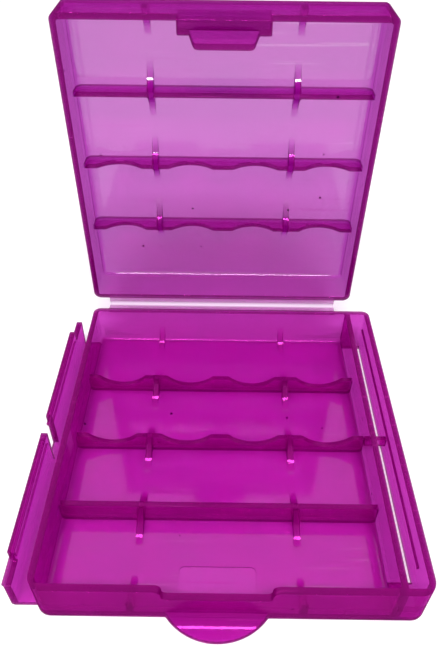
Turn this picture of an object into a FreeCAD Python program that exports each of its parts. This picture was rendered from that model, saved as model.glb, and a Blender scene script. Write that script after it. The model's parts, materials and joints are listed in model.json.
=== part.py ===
"""Clamshell case for four battery cells, moulded in one piece and shown open at a right angle.

X runs to the right, Y towards the hinge and Z up. The origin is the centre of the tray's
underside. All lengths are in millimetres. Both halves are drawn as they lie in the mould,
side by side with their rims in one plane, and the lid is then folded up about the hinge.
"""
import FreeCAD
import Part
import math
import os

from FreeCAD import Vector

# Cells that the case holds, and the play around them
cell_diameter = 14.5
cell_length = 50.5
cell_side_gap = 0.5
cell_gusset_gap = 0.35
cell_wall_gap = 0.75
tray_cell_end_gap = 0.2
lid_cell_end_gap = 1.2
cell_height_gap = 0.1
cell_seat_gap = 0.1

# Shell of both halves
wall = 1.3
tray_height = 11.0
tray_floor = 1.2
lid_plate = 1.2
rim_gap = 0.3
front_bay = 17.1
tray_front_corner_radius = 3.0
lid_front_corner_radius = 1.4
hinge_corner_radius = 1.8
inner_corner_radius = 0.5
outer_edge_radius = 1.0
tray_floor_fillet = 0.8
lid_plate_fillet = 1.5

# Ribs across the cells and the gussets that hold them upright
rib_thickness = 1.2
tray_seat_lift = 2.1
lid_seat_lift = 2.2
tray_seat_depth = 2.5
lid_seat_depth = 2.0
tray_stop_rise = 0.7
gusset_thickness = 1.3
gusset_length = 5.8
gusset_hollow_share = 0.36

# Cut-out for the latch in the tray's front wall, and the shallow pocket behind it
cutout_width = 19.6
cutout_depth = 3.0
cutout_upper_radius = 1.5
cutout_lower_radius = 1.0
pocket_width = 14.8
pocket_length = 7.8
pocket_depth = 0.3
pocket_radius = 1.0

# Finger lip under the cut-out
lip_width = 18.4
lip_reach = 4.1
lip_edge = 1.3
lip_root = 3.0
lip_hollow_share = 0.34

# Latch tongue on the lid's front wall
tongue_side_gap = 0.85
tongue_thickness = 3.1
tongue_backing = 4.0
tongue_chamfer = 1.6
flap_root_width = 13.7
flap_tip_width = 10.9
flap_thickness = 1.25
flap_length = 5.0
flap_lean = 0.95
flap_tip_radius = 0.8

# Living hinge
hinge_width = 58.8
hinge_offset = 1.75
hinge_fold_gap = 0.3
hinge_root_thickness = 0.8
hinge_fold_thickness = 0.35
hinge_root_length = 0.9

# Channel on the right, which takes the hooks of a neighbouring case
channel_gap = 3.7
rail_wall = 1.3
rear_web_length = 1.75
front_web_length = 5.3
tie_depth = 2.3
catch_reach = 0.4
catch_tie_gap = 0.8
catch_height = 0.9

# Hooks on the left, which drop over a neighbouring case's rail
hook_play = 2.05
hook_blade = 1.4
hook_end_inset = 2.1
rear_web_inset = 3.0
hook_tie_gap = 0.4
hook_slide = 2.8
lead_drop = 3.0
rear_lead_length = 6.7
front_lead_length = 4.5
bead_reach = 0.6
bead_height = 1.5
hook_edge_radius = 0.8

# Length by which a cutting tool runs past what it cuts, and the share of a size that counts as near
overrun = 1.0
near_share = 0.1

# Sizes that follow from the cells
seat_radius = cell_diameter / 2 + cell_seat_gap
inner_cell_x = (cell_diameter + cell_side_gap) / 2
gusset_x = inner_cell_x + (cell_diameter + gusset_thickness) / 2 + cell_gusset_gap
outer_cell_x = gusset_x + (cell_diameter + gusset_thickness) / 2 + cell_gusset_gap
half_width = outer_cell_x + cell_diameter / 2 + cell_wall_gap + wall
depth = wall + cell_length + tray_cell_end_gap + rib_thickness + front_bay + wall
half_depth = depth / 2
tray_inner_depth = tray_height - tray_floor
cell_space = cell_diameter + cell_height_gap
lid_inner_depth = lid_seat_lift + cell_space + tray_seat_lift - tray_inner_depth - rim_gap
lid_height = lid_plate + lid_inner_depth

# The fold lies midway between the two hinge-side walls, and midway between the closed rims
hinge_y = half_depth + hinge_offset
hinge_z = tray_height + rim_gap / 2

# Channel and hooks
rail_inner_x = half_width + channel_gap
rail_outer_x = rail_inner_x + rail_wall
hook_slot = rail_wall + hook_play
hook_outer_x = -half_width - hook_slot - hook_blade
tongue_width = cutout_width - 2 * tongue_side_gap
tongue_reach = cutout_depth


class Half:
    """One half of the case as it lies in the mould, with its open side up.

    Ribs stand at each third of the cells. Their places are distances of their middle from the
    outer face of the hinge-side wall.
    """

    def __init__(self, hinge_face, front_way, bottom, height, floor, fillet, seats, corner_radii):
        end_gap, seat_lift, seat_depth, stop_rise = seats
        self.hinge_face = hinge_face
        self.front_way = front_way
        self.bottom = bottom
        self.rim = bottom + height
        self.floor = bottom + floor
        self.fillet = fillet
        self.seat = self.floor + seat_lift
        self.crest = self.seat + seat_depth
        self.stop_crest = self.crest + stop_rise
        self.rib_pitch = (cell_length + end_gap) / 3
        self.front_rib = wall + cell_length + end_gap + rib_thickness / 2
        self.middle_rib = self.front_rib - self.rib_pitch
        self.rear_rib = self.middle_rib - self.rib_pitch
        self.corner_radii = corner_radii

    def y(self, distance):
        """Place along Y of a point this far from the outer face of the hinge-side wall."""
        return self.hinge_face + self.front_way * distance

    def span(self, near, far):
        """The same for two distances, lowest Y first."""
        return sorted((self.y(near), self.y(far)))


tray_half = Half(
    half_depth, -1, 0, tray_height, tray_floor, tray_floor_fillet,
    (tray_cell_end_gap, tray_seat_lift, tray_seat_depth, tray_stop_rise),
    {"hinge left": hinge_corner_radius, "front left": tray_front_corner_radius})
lid_half = Half(
    half_depth + 2 * hinge_offset, 1, tray_height - lid_height, lid_height, lid_plate,
    lid_plate_fillet, (lid_cell_end_gap, lid_seat_lift, lid_seat_depth, 0),
    {"hinge left": hinge_corner_radius, "hinge right": hinge_corner_radius,
     "front left": lid_front_corner_radius, "front right": lid_front_corner_radius})


def block(low, high):
    """Solid box between its lowest and its highest corner."""
    size = Vector(*high) - Vector(*low)
    return Part.makeBox(size.x, size.y, size.z, Vector(*low))


def edges_where(shape, test):
    """Edges whose bounding box passes a test."""
    return [edge for edge in shape.Edges if test(edge.BoundBox)]


def is_upright(bounds):
    """True for an edge that stands on one point of the plan."""
    return max(bounds.XLength, bounds.YLength) < bounds.ZLength * near_share


def round_upright(shape, x, y, radius):
    """Round the upright edge that stands at one point of the plan."""
    def stands_here(bounds):
        return is_upright(bounds) and math.hypot(bounds.XMin - x, bounds.YMin - y) < radius * near_share
    return shape.makeFillet(radius, edges_where(shape, stands_here))


def profile(steps, place):
    """Closed face from corner points; a pair of points is an arc by the first to the second."""
    edges = []
    here = place(*steps[0])
    for step in steps[1:] + steps[:1]:
        if isinstance(step[0], tuple):
            by = place(*step[0])
            end = place(*step[1])
            edges.append(Part.Arc(here, by, end).toShape())
        else:
            end = place(*step)
            edges.append(Part.LineSegment(here, end).toShape())
        here = end
    return Part.Face(Part.Wire(edges))


def bar_along_x(steps, left, right):
    """Profile of (y, z) steps, swept from one X to another."""
    face = profile(steps, lambda y, z: Vector(left, y, z))
    return face.extrude(Vector(right - left, 0, 0))


def bar_along_y(steps, low, high):
    """Profile of (x, z) steps, swept from one Y to another."""
    face = profile(steps, lambda x, z: Vector(x, low, z))
    return face.extrude(Vector(0, high - low, 0))


def slab(steps, low, high):
    """Profile of (x, y) steps, swept from one Z to another."""
    face = profile(steps, lambda x, y: Vector(x, y, low))
    return face.extrude(Vector(0, 0, high - low))


def outer_form(half):
    """Solid outside of a half, its upright corners rounded."""
    low_y, high_y = half.span(0, depth)
    form = block((-half_width, low_y, half.bottom), (half_width, high_y, half.rim))
    for corner, radius in half.corner_radii.items():
        end, side = corner.split()
        x = -half_width if side == "left" else half_width
        form = round_upright(form, x, half.y(0 if end == "hinge" else depth), radius)
    return form


def cavity(half):
    """Space inside a half, its corners and the edge along the floor rounded."""
    low_y, high_y = half.span(wall, depth - wall)
    reach_x = half_width - wall
    space = block((-reach_x, low_y, half.floor), (reach_x, high_y, half.rim + overrun))
    rounded_corners = space.makeFillet(inner_corner_radius, edges_where(space, is_upright))
    at_floor = edges_where(space, lambda bounds: bounds.ZMax < half.floor + half.fillet * near_share)
    return rounded_corners.common(space.makeFillet(half.fillet, at_floor))


tray_cavity = cavity(tray_half)
lid_cavity = cavity(lid_half)


def latch_cutout():
    """Cutting tool for the notch in the tray's front wall, rounded at its four corners."""
    half = cutout_width / 2
    upper = min(cutout_upper_radius, cutout_depth / 2)
    lower = min(cutout_lower_radius, cutout_depth - upper)
    rim = tray_height
    floor = tray_height - cutout_depth
    bend = math.sin(math.radians(45))
    left_side = [
        (-half - upper, rim + overrun),
        (-half - upper, rim),
        ((-half - upper + upper * bend, rim - upper + upper * bend), (-half, rim - upper)),
        (-half, floor + lower),
        ((-half + lower - lower * bend, floor + lower - lower * bend), (-half + lower, floor)),
    ]
    right_side = [
        (half - lower, floor),
        ((half - lower + lower * bend, floor + lower - lower * bend), (half, floor + lower)),
        (half, rim - upper),
        ((half + upper - upper * bend, rim - upper + upper * bend), (half + upper, rim)),
        (half + upper, rim + overrun),
    ]
    return bar_along_y(left_side + right_side, -half_depth - overrun, wall + overrun - half_depth)


def floor_pocket():
    """Cutting tool for the shallow pocket in the floor under the latch."""
    front = wall - half_depth
    rear = front + pocket_length
    half = pocket_width / 2
    tool = block((-half, front, tray_floor - pocket_depth), (half, rear, tray_floor + tray_half.fillet))
    for x in (-half, half):
        tool = round_upright(tool, x, rear, pocket_radius)
    return tool


def base_tray():
    """Tray with rounded corners and bottom edge, latch notch and floor pocket."""
    form = outer_form(tray_half)

    def rounded_below(bounds):
        return bounds.ZMax < outer_edge_radius * near_share and bounds.XMin < half_width - outer_edge_radius
    form = form.makeFillet(outer_edge_radius, edges_where(form, rounded_below))
    return form.cut(tray_cavity).cut(latch_cutout()).cut(floor_pocket())


def lid_shell():
    """Lid with all its corners and its outer edge rounded."""
    form = outer_form(lid_half)
    lowest = lid_half.bottom + outer_edge_radius * near_share
    form = form.makeFillet(outer_edge_radius, edges_where(form, lambda bounds: bounds.ZMax < lowest))
    return form.cut(lid_cavity)


def rib(half, space, distance, has_seats):
    """Rib across a half; a rib with seats is hollowed under each of the four cells."""
    low_y, high_y = half.span(distance - rib_thickness / 2, distance + rib_thickness / 2)
    top = half.crest if has_seats else half.stop_crest
    plate = block((-half_width, low_y, half.floor), (half_width, high_y, top)).common(space)
    if not has_seats:
        return plate
    seats = [
        Part.makeCylinder(
            seat_radius, rib_thickness + 2 * overrun,
            Vector(x, low_y - overrun, half.seat + seat_radius), Vector(0, 1, 0))
        for x in (-outer_cell_x, -inner_cell_x, inner_cell_x, outer_cell_x)]
    return plate.cut(seats)


def gusset(half, space, face, way):
    """Pair of hollow-backed gussets against one face; way is 1 towards the front, -1 to the hinge."""
    length = min(gusset_length, (half.rib_pitch - rib_thickness) / 2)
    tip = face + way * length
    middle = face + way * length * gusset_hollow_share
    middle_height = (half.crest - half.floor) * gusset_hollow_share
    steps = [
        (half.y(face), half.floor),
        (half.y(tip), half.floor),
        ((half.y(middle), half.floor + middle_height), (half.y(face), half.crest)),
    ]
    pair = []
    for x in (-gusset_x, gusset_x):
        bar = bar_along_x(steps, x - gusset_thickness / 2, x + gusset_thickness / 2)
        pair.append(bar.common(space))
    return pair


def rib_gussets(half, space, distance):
    """Gussets on both faces of a rib, as one group of separate solids."""
    solids = gusset(half, space, distance + rib_thickness / 2, 1)
    solids += gusset(half, space, distance - rib_thickness / 2, -1)
    return Part.makeCompound(solids)


def hinge_leaf(half):
    """Half of the living hinge: a thicker root on the wall, thinned to the film at the fold."""
    fold = hinge_fold_gap / 2 - hinge_offset
    root = -min(hinge_root_length, hinge_offset - hinge_fold_gap)
    steps = [
        (half.y(0), half.rim),
        (half.y(fold), half.rim),
        (half.y(fold), half.rim - hinge_fold_thickness),
        (half.y(root), half.rim - hinge_fold_thickness),
        (half.y(0), half.rim - hinge_root_thickness),
    ]
    return bar_along_x(steps, -hinge_width / 2, hinge_width / 2)


def finger_lip(tray):
    """Rounded lip at the foot of the front wall, hollowed up into the wall."""
    face = -half_depth
    tip = face - lip_reach
    inside = face + outer_edge_radius
    half = lip_width / 2
    plan = [(-half, inside), (-half, face), ((0, tip), (half, face)), (half, inside)]
    rise = lip_root - lip_edge
    hollow = (face - lip_reach * lip_hollow_share, lip_edge + rise * lip_hollow_share)
    side = [(inside, 0), (tip, 0), (tip, lip_edge), (hollow, (face, lip_root)), (inside, lip_root)]
    lip = slab(plan, 0, lip_root).common(bar_along_x(side, -half, half))
    return lip.cut(tray)


def latch_tongue():
    """Shoulder block on the lid's rim, with a backing inside the wall and a tapered flap."""
    front = lid_half.y(depth)
    rim = lid_half.rim
    tip = rim + tongue_reach
    inner = front - tongue_thickness
    wall_face = front - wall
    side = [
        (front, rim), (front, tip), (inner, tip), (inner, rim - tongue_backing + tongue_chamfer),
        (wall_face, rim - tongue_backing), (wall_face, rim)]
    shoulder = bar_along_x(side, -tongue_width / 2, tongue_width / 2)

    end = tip + flap_length
    flap_side = [
        (inner, tip), (inner + flap_thickness, tip),
        (inner + flap_thickness - flap_lean, end), (inner - flap_lean, end)]
    flap = bar_along_x(flap_side, -flap_root_width / 2, flap_root_width / 2)
    root = flap_root_width / 2
    point = flap_tip_width / 2
    low_y = inner - flap_lean - overrun
    taper = bar_along_y([(-root, tip), (root, tip), (point, end), (-point, end)], low_y, front)
    taper = taper.makeFillet(flap_tip_radius, edges_where(
        taper, lambda bounds: bounds.YLength > overrun and bounds.ZMin > end - flap_tip_radius * near_share))
    return shoulder.fuse(flap.common(taper)).removeSplitter()


def channel_rail():
    """Outer rail of the channel with its two end walls, floor webs and the catch along it."""
    form = block((half_width, -half_depth, 0), (rail_outer_x, half_depth, tray_height))
    for y, radius in ((-half_depth, tray_front_corner_radius), (half_depth, hinge_corner_radius)):
        form = round_upright(form, rail_outer_x, y, min(radius, channel_gap))

    def rounded_below(bounds):
        return bounds.ZMax < outer_edge_radius * near_share and bounds.XMax > half_width + outer_edge_radius
    form = form.makeFillet(outer_edge_radius, edges_where(form, rounded_below))

    reach = half_depth - wall
    space = block((half_width - overrun, -reach, tray_floor), (rail_inner_x, reach, tray_height + overrun))
    for y in (-reach, reach):
        space = round_upright(space, rail_inner_x, y, inner_corner_radius)
    slot_front = -reach + front_web_length
    slot_rear = reach - rear_web_length
    slot = block((half_width - overrun, slot_front, -overrun), (rail_inner_x, slot_rear, tray_height))
    form = form.cut(space).cut(slot)

    foot = tray_half.crest + catch_tie_gap
    catch = bar_along_y(
        [(rail_inner_x, foot), (rail_inner_x - catch_reach, foot + catch_height / 2),
         (rail_inner_x, foot + catch_height)], slot_front, slot_rear)
    return form.fuse(catch).removeSplitter()


def channel_tie():
    """Bar across the channel, in line with the middle rib and level with its crest."""
    rib_place = tray_half.middle_rib
    low_y, high_y = tray_half.span(rib_place - rib_thickness / 2, rib_place + rib_thickness / 2)
    top = tray_half.crest
    return block((half_width, low_y, top - tie_depth), (rail_inner_x, high_y, top))


def hook(tray, rear, front, web_rear, blade_rear, blade_front):
    """Hook on the left wall: floor web, upright blade, lower lead-in end and a bead outside."""
    lead_top = tray_height - lead_drop
    blade_inner_x = hook_outer_x + hook_blade
    web = block((hook_outer_x, front, 0), (outer_edge_radius - half_width, web_rear, tray_floor))
    lead = block((hook_outer_x, front, 0), (blade_inner_x, rear, lead_top))
    blade = block((hook_outer_x, blade_front, 0), (blade_inner_x, blade_rear, tray_height))
    bead = bar_along_y(
        [(hook_outer_x, lead_top), (hook_outer_x - bead_reach, lead_top - bead_height / 2),
         (hook_outer_x, lead_top - bead_height)], front, blade_rear)
    form = web.fuse([lead, blade, bead]).removeSplitter()

    def outer_corner(bounds):
        at_foot = bounds.ZMax < hook_edge_radius * near_share
        outside = bounds.XMax < hook_outer_x + hook_edge_radius * near_share
        return at_foot and outside and bounds.YLength > hook_blade
    form = form.makeFillet(hook_edge_radius, edges_where(form, outer_corner))
    return form.cut(tray)


def hooks(tray):
    """Both hooks; the neighbour's channel tie slides in between their blades, over the web."""
    tie_y = tray_half.y(tray_half.middle_rib)
    rear_end = half_depth - hook_end_inset
    web_rear = half_depth - rear_web_inset
    gap_rear = tie_y + rib_thickness / 2 + hook_tie_gap
    gap_front = tie_y - rib_thickness / 2 - hook_slide
    front_end = hook_end_inset - half_depth
    rear_hook = hook(tray, rear_end, gap_rear, web_rear, rear_end - rear_lead_length, gap_rear)
    front_hook = hook(tray, gap_front, front_end, gap_rear, gap_front, front_end + front_lead_length)
    return rear_hook, front_hook


def folded_up(shape):
    """Turn a shape of the lid from the mould's flat position to a right angle at the hinge."""
    shape.rotate(Vector(0, hinge_y, hinge_z), Vector(1, 0, 0), 90)
    return shape


def save(name, shape):
    """Write one sub-part."""
    shape.exportStep(os.path.join("parts", name + ".step"))


def build():
    """Make every sub-part and write it."""
    os.makedirs("parts", exist_ok=True)
    tray = base_tray()
    rear_hook, front_hook = hooks(tray)

    pieces = {
        "base_tray": tray,
        "channel_rail": channel_rail(),
        "channel_tie": channel_tie(),
        "rear_hook": rear_hook,
        "front_hook": front_hook,
        "finger_lip": finger_lip(tray),
        "base_hinge_leaf": hinge_leaf(tray_half),
        "base_hinge_wall_gussets": Part.makeCompound(gusset(tray_half, tray_cavity, wall, 1)),
        "base_front_wall_gussets": Part.makeCompound(gusset(tray_half, tray_cavity, depth - wall, -1)),
    }
    lid_pieces = {
        "lid_shell": lid_shell(),
        "latch_tongue": latch_tongue(),
        "lid_hinge_leaf": hinge_leaf(lid_half),
        "lid_front_wall_gussets": Part.makeCompound(gusset(lid_half, lid_cavity, depth - wall, -1)),
    }
    halves = (("base", tray_half, tray_cavity, pieces), ("lid", lid_half, lid_cavity, lid_pieces))
    for side, half, space, group in halves:
        places = {"rear": half.rear_rib, "middle": half.middle_rib, "front": half.front_rib}
        for name, distance in places.items():
            group[side + "_rib_" + name] = rib(half, space, distance, name != "front")
            group[side + "_" + name + "_rib_gussets"] = rib_gussets(half, space, distance)

    for name, shape in pieces.items():
        save(name, shape)
    for name, shape in lid_pieces.items():
        save(name, folded_up(shape))


build()
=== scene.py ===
"""Clamshell case for four battery cells, moulded in one shot from tinted polypropylene.

Each half is modelled as it lies in the mould, with its open side up, and the lid is then turned
up about the living hinge. Everything is in metres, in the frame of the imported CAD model, and a
piece takes its place from the CAD nodes that it stands for.
"""

import json
import math
from contextlib import contextmanager

import bmesh
import bpy
from bpy.props import FloatProperty, FloatVectorProperty, PointerProperty
from mathutils import Matrix, Vector


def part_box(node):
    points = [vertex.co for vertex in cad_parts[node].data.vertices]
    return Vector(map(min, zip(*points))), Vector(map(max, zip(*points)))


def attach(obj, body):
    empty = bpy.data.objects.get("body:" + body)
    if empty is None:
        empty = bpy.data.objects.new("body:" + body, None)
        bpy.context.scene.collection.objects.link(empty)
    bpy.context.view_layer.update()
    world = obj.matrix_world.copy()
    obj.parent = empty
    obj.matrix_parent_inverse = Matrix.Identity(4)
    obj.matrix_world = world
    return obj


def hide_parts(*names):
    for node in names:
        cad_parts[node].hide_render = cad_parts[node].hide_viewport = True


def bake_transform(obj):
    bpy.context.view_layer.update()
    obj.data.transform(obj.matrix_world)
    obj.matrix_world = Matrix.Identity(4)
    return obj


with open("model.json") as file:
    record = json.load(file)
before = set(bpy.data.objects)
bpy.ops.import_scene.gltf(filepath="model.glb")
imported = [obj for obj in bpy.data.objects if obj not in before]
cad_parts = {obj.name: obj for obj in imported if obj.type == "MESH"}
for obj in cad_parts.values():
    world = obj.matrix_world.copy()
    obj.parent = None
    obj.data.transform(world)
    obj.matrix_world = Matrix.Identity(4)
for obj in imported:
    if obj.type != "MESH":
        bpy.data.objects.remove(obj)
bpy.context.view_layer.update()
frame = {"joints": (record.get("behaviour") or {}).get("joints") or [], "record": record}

bl_info = {
    "name": "Battery storage case",
    "version": (1, 0, 0),
    "blender": (4, 5, 0),
    "location": "View3D > Sidebar > Case",
    "description": "Builds a translucent clamshell case for battery cells around its CAD frame",
    "category": "Add Mesh",
}

MM = 0.001
TINY = 0.002 * MM
NUDGE = 0.02 * MM
LID_NODES = frame["record"]["behaviour"]["bodies"]["lid"]
BASE_NODES = frame["record"]["behaviour"]["bodies"]["base"]
HINGE = Vector(frame["joints"][0]["pos_m"])
SMOOTH_BELOW = math.radians(35)
SENSOR_MM = 36

# Sizes of the surface's patterns; a texture's scale is one over the size. Real hairlines, dust and
# paper fibres are finer than a pixel of the render, and are drawn as coarse as they need to show.
SATIN_PATCH = 11.111 * MM
ORANGE_PEEL = 0.71429 * MM
PEEL_HEIGHT = 0.01 * MM
HAIRLINE_LENGTH = 33.333 * MM
HAIRLINE_SPACING = 0.66667 * MM
DUST_SPACING = 8.3333 * MM
DUST_SPECK = 0.375 * MM
PAPER_FIBRE = 1.4286 * MM
FIBRE_HEIGHT = 0.02 * MM

# Polypropylene's own index is 1.49, and 1.4 matches what its thin walls bend. The milky share has
# next to no gloss of its own, because the shine lies over both shares.
RESIN_IOR = 1.4
MILKY_IOR = 1.05

# How deep into the tray's floor and the lid's plate the shine's painted white highlight is drawn, and how
# far above; above the lid's plate it takes in the fillet
TRAY_HIGHLIGHT_DEPTH, TRAY_HIGHLIGHT_RISE = 0.5 * MM, 0.12 * MM
LID_HIGHLIGHT_DEPTH, LID_HIGHLIGHT_RISE = 0.4 * MM, 1.8 * MM
LID_HIGHLIGHT_SHIFT = 0.1 * MM


# Sizes and colours that a user would change

def setting(name, description, default, **kind):
    """Property that holds a number, or a vector where the default is one."""
    words = {"name": name, "description": description, "default": default, **kind}
    if isinstance(default, tuple):
        return FloatVectorProperty(size=len(default), **words)
    return FloatProperty(**words)


def length(name, description, millimetres):
    """Property that holds a length."""
    return setting(name, description, millimetres * MM, min=0, precision=5,
                   subtype="DISTANCE", unit="LENGTH")


def angle(name, description, degrees):
    """Property that holds an angle."""
    return setting(name, description, math.radians(degrees), subtype="ANGLE", unit="ROTATION")


def share(name, description, default):
    """Property that holds a share from 0 to 1."""
    return setting(name, description, default, min=0, max=1, subtype="FACTOR")


def linear(hex_colour):
    """Linear red, green, blue and alpha of an sRGB colour such as "A50090"."""
    channels = [int(hex_colour[i:i + 2], 16) / 255 for i in (0, 2, 4)]
    curve = [c / 12.92 if c <= 0.04045 else ((c + 0.055) / 1.055) ** 2.4 for c in channels]
    return (*curve, 1.0)


def colour(name, description, hex_colour):
    """Property that holds a colour, given in sRGB."""
    return setting(name, description, linear(hex_colour), min=0, max=1, subtype="COLOR")


class CaseSizes(bpy.types.PropertyGroup):
    """Sizes that the CAD nodes' boxes don't give."""

    wall: length("Wall", "Thickness of the walls of both halves", 1.3)
    floor: length("Floor", "Thickness of the tray's floor and the lid's plate", 1.2)
    tray_corner: length("Tray corner", "Radius of the tray's front corners", 3.0)
    lid_corner: length("Lid corner", "Radius of the lid's front corners", 1.4)
    hinge_corner: length("Hinge corner", "Radius of both halves' corners at the hinge", 1.8)
    inner_corner: length("Inner corner", "Radius of the upright corners inside", 0.5)
    outer_edge: length("Outer edge", "Radius along the closed faces' outer edges", 1.0)
    tray_fillet: length("Tray fillet", "Radius between the tray's floor and walls", 0.8)
    lid_fillet: length("Lid fillet", "Radius between the lid's plate and walls", 1.5)
    rim_edge: length("Rim edge", "Radius of the small edges along the rims", 0.28)
    small_edge: length("Small edge", "Radius of the edges of ribs, hooks and tongue", 0.2)

    seat_radius: length("Seat radius", "Radius of the seats in the ribs", 7.35)
    inner_seat: length("Inner seat", "Distance of the inner seats from the middle", 7.5)
    outer_seat: length("Outer seat", "Distance of the outer seats from the middle", 24.0)
    tray_seat_depth: length("Tray seat depth", "Depth of a seat below the tray rib's crest", 2.5)
    lid_seat_depth: length("Lid seat depth", "Depth of a seat below the lid rib's crest", 2.0)
    fin_thickness: length("Fin thickness", "Thickness of the fins on the ribs", 1.3)
    fin_hollow: share("Fin hollow", "How far the fin's slope sags inwards at its middle", 0.36)

    notch_width: length("Notch width", "Width of the latch notch in the front wall", 19.6)
    notch_depth: length("Notch depth", "Depth of the latch notch below the rim", 3.0)
    notch_top: length("Notch top", "Radius where the notch meets the rim", 1.5)
    notch_bottom: length("Notch bottom", "Radius at the foot of the notch", 1.0)
    pocket_width: length("Pocket width", "Width of the shallow pocket in the floor", 14.8)
    pocket_length: length("Pocket length", "Length of the shallow pocket in the floor", 7.8)
    pocket_depth: length("Pocket depth", "Depth of the shallow pocket in the floor", 0.3)
    pocket_corner: length("Pocket corner", "Radius of the pocket's rear corners", 1.0)

    lip_edge: length("Lip edge", "Thickness of the finger lip at its edge", 1.3)
    lip_hollow: share("Lip hollow", "How far the lip's top sags inwards at its middle", 0.34)
    lip_round: length("Lip rounding", "Radius of the finger lip's outer edges", 0.4)

    tongue_thickness: length("Tongue thickness", "Thickness of the latch tongue's shoulder", 3.1)
    tongue_reach: length("Tongue reach", "Reach of the shoulder past the rim", 3.0)
    tongue_chamfer: length("Tongue chamfer", "Chamfer under the tongue's backing", 1.6)
    flap_root: length("Flap root", "Width of the flap where it leaves the shoulder", 13.7)
    flap_tip: length("Flap tip", "Width of the flap at its tip", 10.9)
    flap_thickness: length("Flap thickness", "Thickness of the flap", 1.25)
    flap_lean: length("Flap lean", "How far the flap's tip leans inwards", 0.95)
    flap_corner: length("Flap corner", "Radius of the flap's tip corners", 0.8)

    rail_wall: length("Rail wall", "Thickness of the channel's outer rail", 1.3)
    rear_web: length("Rear web", "Length of the channel's floor at its rear end", 1.75)
    front_web: length("Front web", "Length of the channel's floor at its front end", 5.3)
    catch_reach: length("Catch reach", "Reach of the catch along the rail's inner face", 0.4)
    catch_height: length("Catch height", "Height of that catch", 0.9)
    catch_gap: length("Catch gap", "Height of the catch over the channel's tie", 0.8)

    blade: length("Hook blade", "Thickness of the hooks' upright blades", 1.4)
    bead_reach: length("Bead reach", "Reach of the bead outside the blades", 0.6)
    bead_height: length("Bead height", "Height of that bead", 1.5)
    lead_drop: length("Lead drop", "How far the hooks' lead-in ends lie below the rim", 3.0)
    rear_lead: length("Rear lead", "Length of the rear hook's lead-in", 6.7)
    front_lead: length("Front lead", "Length of the front hook's lead-in", 4.5)
    web_inset: length("Web inset", "Length of the rear hook's end that has no floor", 0.9)
    blade_gap: length("Blade gap", "Gap between the hooks' blades, where only the web runs on", 4.4)
    bead_slope: share("Bead slope", "Height of the bead's outer face as a share of its root", 0.25)
    hook_edge: length("Hook edge", "Radius along the hooks' lower outer edges", 0.8)

    film: length("Film", "Thickness of the living hinge at its fold", 0.35)
    film_root: length("Film root", "Thickness of the living hinge at the walls", 0.8)
    film_root_length: length("Film root length", "Length over which the hinge thins out", 0.9)
    film_bend: length("Film bend", "Inner radius of the open hinge's bend", 0.3)


class CaseColours(bpy.types.PropertyGroup):
    """Colours, shares and roughness of the plastic and the paper."""

    tint: colour("Tint", "Colour of the light that the milky resin scatters", "F200C4")
    clear: colour("Clear", "What a surface leaves of the light that passes through it", "FAFFFF")
    shine_tint: colour("Shine tint", "Colour of what the surface mirrors", "FF58E0")
    # The shine is painted white with this colour in a box, a painted highlight on the tray's floor and on
    # the lid's plate and fillet
    highlight_paint: colour("Polish", "Colour of what the polished floor and plate mirror", "FFFFFF")
    stress: colour("Stress", "Colour of the hinge where folding has whitened it", "F4E6F6")
    dust: colour("Dust", "Colour of the dust specks", "3A0A34")
    paper: colour("Paper", "Colour of the floor", "EEEEEE")
    milk: share("Milk", "Share of the light that the resin scatters at a surface", 0.22)
    glow: share("Glow", "Share of the scattered light that goes on forwards", 0.4)
    bending: share("Bending", "Share of the clear light that the surface bends", 0.8)
    # Share of that painted white highlight on the tray's floor
    tray_highlight_paint: share("Tray polish", "How polished the tray's floor is beside the lid's plate", 0.6)
    shine: share("Shine", "Share of the light that the surface mirrors", 0.05)
    hairline_shine: share("Hairline shine", "The same share along a hairline scratch", 0.15)
    smoothest: share("Smoothest", "Roughness of the shine between the satin patches", 0.02)
    roughest: share("Roughest", "Roughness of the shine in the satin patches", 0.12)
    haze: share("Haze", "Roughness of what is seen through the resin", 0.05)
    relief: share("Relief", "Strength of the orange peel and the scratches", 0.25)
    crazing: share("Crazing", "How opaque folding has made the middle of the hinge", 0.8)
    # One resin, but each half's loss is tuned apart to the colour its light and shade give it: real
    # absorption with painted light and shade
    tray_loss_with_painted_shading: setting("Tray loss", "Absorption of red, green and blue in the tray, per metre",
                       (200.0, 1500.0, 250.0), min=0)
    lid_loss_with_painted_shading: setting("Lid loss", "Absorption of red, green and blue in the lid, per metre",
                      (330.0, 1150.0, 300.0), min=0)


class StageSettings(bpy.types.PropertyGroup):
    """Camera, paper and light."""

    paper_size: length("Paper size", "Width and length of the paper", 6000)
    paper_drop: length("Paper drop", "How far the paper lies below the case", 0.03)
    camera_place: setting("Camera place", "Where the photograph was taken from",
                          (0.00057, -0.081512, 0.119671), precision=5,
                          subtype="TRANSLATION", unit="LENGTH")
    camera_pitch: angle("Camera pitch", "How far the camera looks down", 39.723)
    camera_yaw: angle("Camera yaw", "How far the camera turns to the left", 0.2)
    camera_roll: angle("Camera roll", "How far the camera tilts", 0.6)
    focal_length: setting("Focal length", "In millimetres, for a 36 mm sensor", 33.98, min=1)
    shift_x: setting("Shift X", "Sideways shift of the picture in the frame", -0.0041)
    shift_y: setting("Shift Y", "Upward shift of the picture in the frame", -0.0718)
    room: setting("Room", "Strength of the even light from all round", 0.45, min=0)
    window: setting("Window", "Power of the soft lamp above the case", 3.0, min=0,
                    subtype="POWER", unit="POWER")
    window_size: setting("Window size", "Width and depth of the lamp", (0.4, 0.09),
                         precision=3, subtype="XYZ_LENGTH", unit="LENGTH")
    window_place: setting("Window place", "Place of the lamp", (0.0, -0.26, 0.55),
                          precision=3, subtype="TRANSLATION", unit="LENGTH")
    backdrop: setting("Backdrop", "What makes the paper white where it is looked at", 0.3, min=0)


# Modelling by hand: selecting, boxes, rounded edges, cuts and joins

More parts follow.
